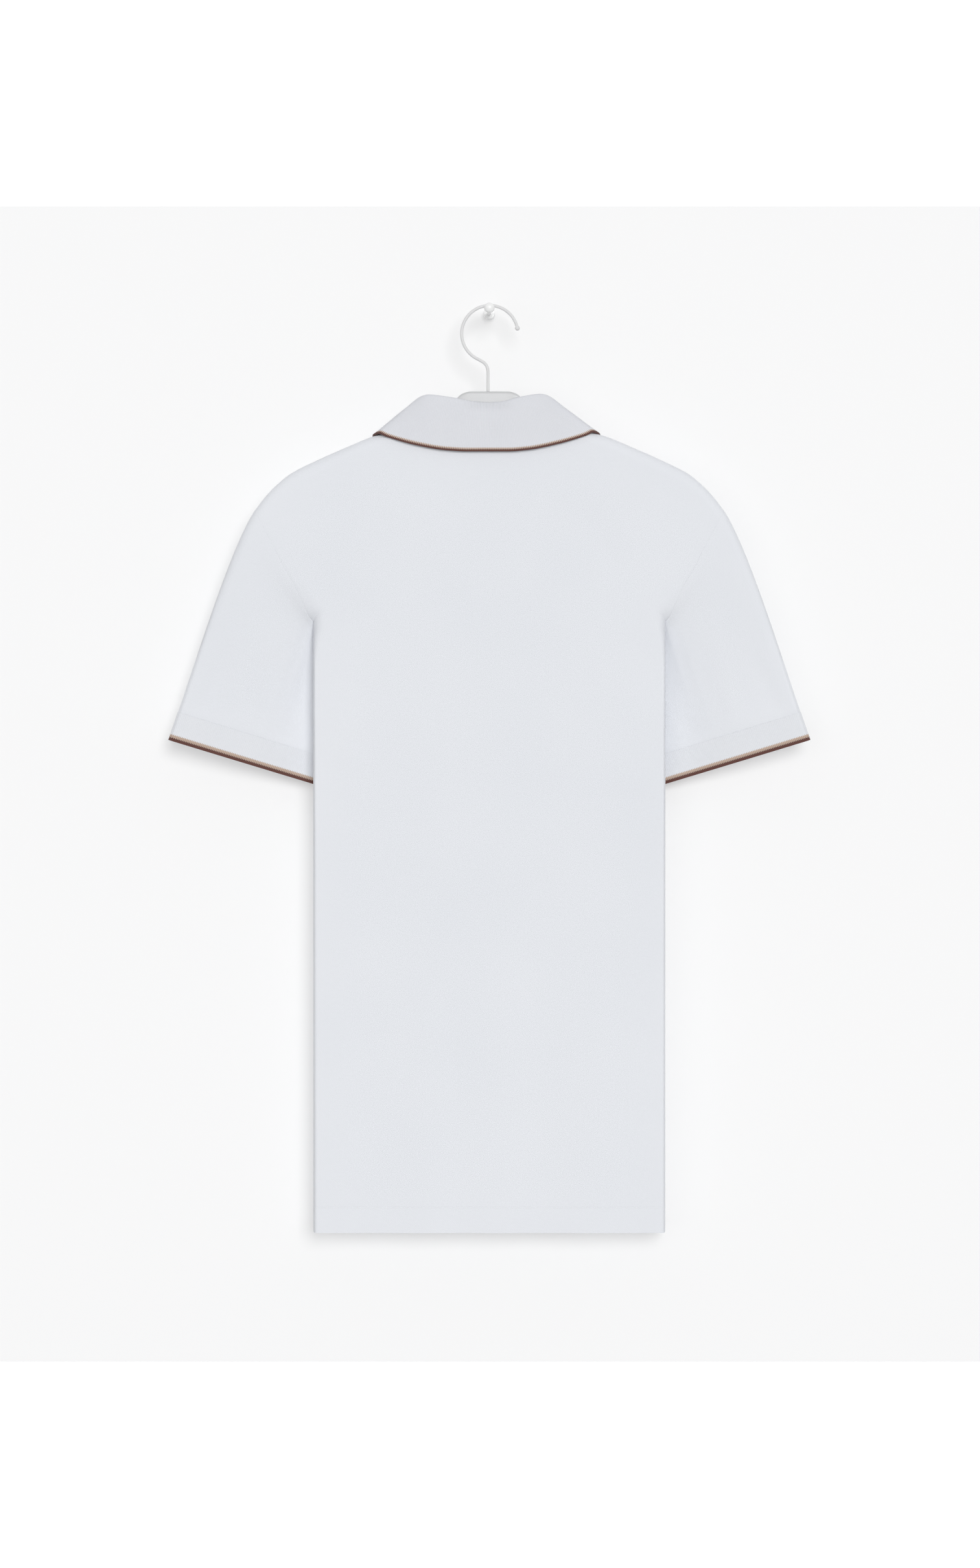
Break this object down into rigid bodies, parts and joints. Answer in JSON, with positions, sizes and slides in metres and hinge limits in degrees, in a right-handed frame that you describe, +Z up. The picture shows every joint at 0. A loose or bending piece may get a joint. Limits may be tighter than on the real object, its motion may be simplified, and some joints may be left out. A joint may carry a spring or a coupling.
{
  "type": "short-sleeve polo shirt on a hanger",
  "caption": "Hip-length short-sleeve polo shirt with a folded rib collar and rib cuffs, sides folded back, on a plain moulded hanger whose wire hook hangs from a small wall peg",
  "frame": {"origin": "middle of the peg's flat foot, where it meets the wall", "axes": "+Z up, +Y into the wall, +X to the right for somebody who faces the wall and sees the back of the shirt; the wall is the plane Y = 0 and the object lies at Y <= 0"},
  "size_m": [0.579, 0.0484, 0.8383],
  "materials": {
    "jersey": "white cotton pique jersey",
    "rib": "white flat-knit rib with a tan and a brown stripe along its edge",
    "button": "white moulded button",
    "hanger": "white moulded plastic",
    "wire": "white enamelled steel wire",
    "peg": "white enamel"
  },
  "bodies": {
    "root": {"back": "jersey", "front": "jersey", "sleeve_right": "jersey", "sleeve_left": "jersey", "cuff_right": "rib", "cuff_left": "rib", "collar": "rib", "placket_top": "jersey", "placket_under": "jersey", "button_1": "button", "button_2": "button", "button_3": "button", "hanger": "hanger", "hook": "wire", "peg": "peg"}
  },
  "joints": []
}
